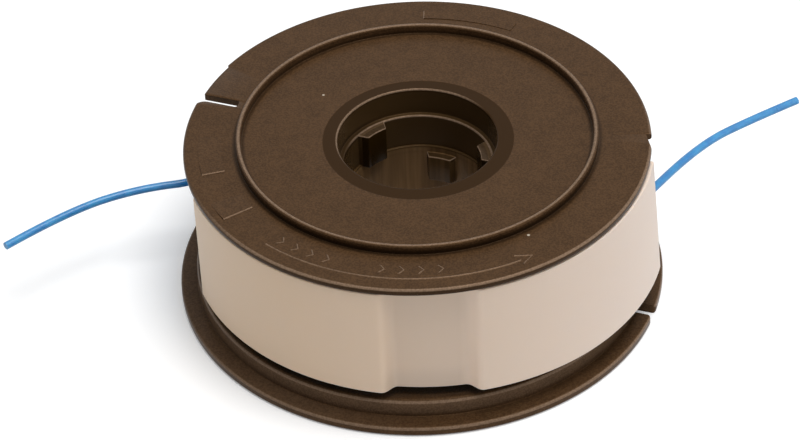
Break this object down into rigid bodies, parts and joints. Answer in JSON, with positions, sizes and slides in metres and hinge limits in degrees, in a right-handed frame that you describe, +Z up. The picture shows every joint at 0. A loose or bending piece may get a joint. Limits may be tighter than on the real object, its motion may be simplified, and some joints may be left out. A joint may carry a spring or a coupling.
{
  "type": "trimmer line spool",
  "caption": "Twin-chamber spool wound with nylon cutting line, with free line tails, a thin retaining band and a lugged drive bore, for a string trimmer head.",
  "frame": {"origin": "centre of the lower flange's underside, on the spool's axis", "axes": "+Z up along the spool's axis towards the upper flange, -Y towards the recess in the band's front"},
  "size_m": [0.1501, 0.091, 0.0341],
  "materials": {
    "moulding": "fine grained, warm brown-black",
    "line": "smooth extruded nylon, blue",
    "band": "thin milky plastic strip"
  },
  "bodies": {
    "root": {"spool": "moulding", "upper_winding": "line", "lower_winding": "line", "upper_line_tail": "line", "lower_line_tail": "line", "retaining_band": "band"}
  },
  "joints": []
}
